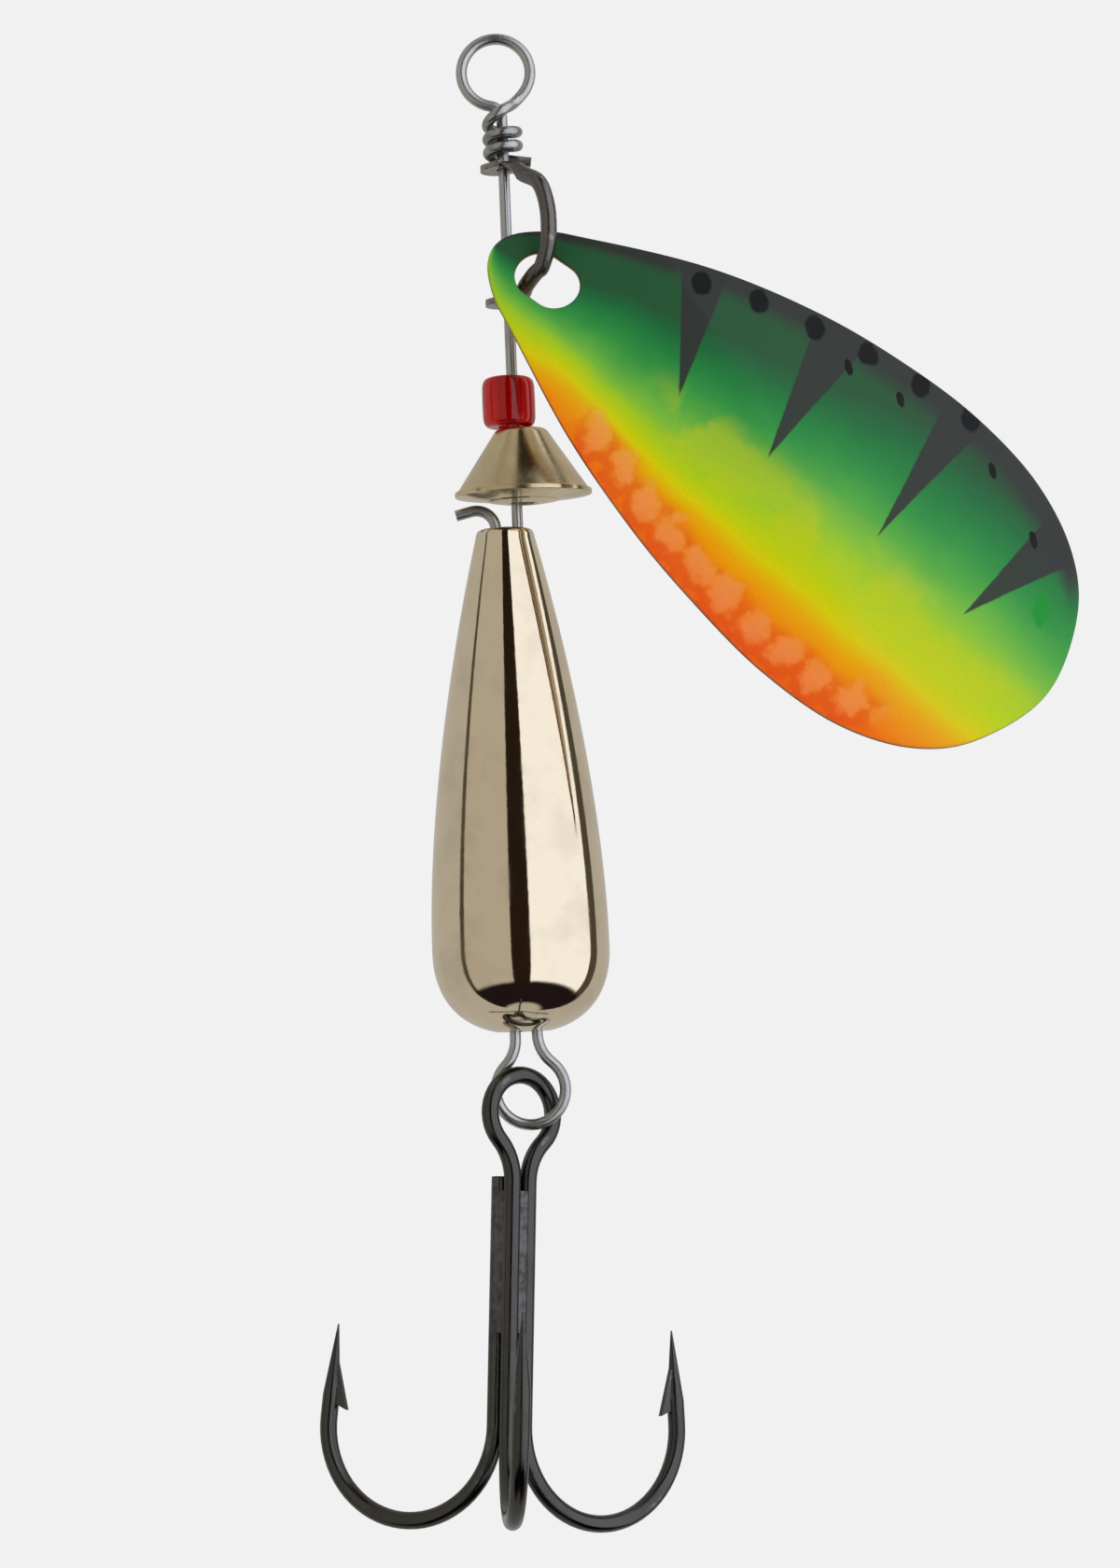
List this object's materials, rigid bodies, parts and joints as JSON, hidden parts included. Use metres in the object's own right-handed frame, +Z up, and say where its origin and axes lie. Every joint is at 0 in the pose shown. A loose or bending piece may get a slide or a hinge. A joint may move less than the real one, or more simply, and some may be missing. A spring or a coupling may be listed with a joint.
{
  "type": "inline spinner",
  "caption": "Inline spinner lure: wire shaft with a line eye, a painted blade on a clevis, a glass bead, a brass bell, a gold drop body and a treble hook",
  "frame": {"origin": "on the shaft's axis at the height of the line eye's centre", "axes": "+Z up the shaft towards the line eye, +X to the side the blade swings out to, -Y towards the viewer, facing the domed side of the blade"},
  "size_m": [0.0424, 0.0173, 0.0809],
  "materials": {
    "stainless_wire": "bright drawn spring wire",
    "dark_nickel": "dark nickel plate",
    "blade_paint": "glossy fire tiger paint: dark green back, lime middle, orange belly, black bars and spots",
    "red_glass": "clear red glass",
    "brass": "polished, lightly tarnished",
    "gold_plate": "mirror-bright pale gold plate",
    "hook_steel": "black nickel plate",
    "hook_braze": "plated over braze"
  },
  "bodies": {
    "wire": {"shaft_wire": "stainless_wire"},
    "clevis": {"clevis": "dark_nickel"},
    "blade": {"blade": "blade_paint"},
    "bell": {"bell": "brass"},
    "bead": {"bead": "red_glass"},
    "body": {"body": "gold_plate"},
    "hook": {"double_hook": "hook_steel", "single_hook": "hook_steel", "braze": "hook_braze"}
  },
  "joints": [
    {"name": "clevis_spin", "type": "hinge", "parent": "wire", "child": "clevis", "pos_m": [0, 0, -0.00892], "axis": [0, 0, 1], "continuous": true},
    {"name": "blade_swing", "type": "hinge", "parent": "clevis", "child": "blade", "pos_m": [0.00163, -0.00196, -0.0113], "axis": [-0.0712, 0.9481, -0.3098], "range_deg": [-40, 45]},
    {"name": "bell_slide", "type": "slide", "parent": "wire", "child": "bell", "axis": [0, 0, 1], "range_m": [0, 0.0025]},
    {"name": "bead_spin", "type": "hinge", "parent": "bell", "child": "bead", "pos_m": [-0.00022, 0, -0.01817], "axis": [0, 0, 1], "continuous": true},
    {"name": "body_spin", "type": "hinge", "parent": "wire", "child": "body", "pos_m": [-0.0007, 0, -0.0386], "axis": [0, 0, 1], "continuous": true},
    {"name": "hook_swing", "type": "hinge", "parent": "wire", "child": "hook", "pos_m": [-0.00068, -0.00027, -0.05509], "axis": [0.1434, 0.9446, -0.2952], "range_deg": [-45, 45]}
  ]
}
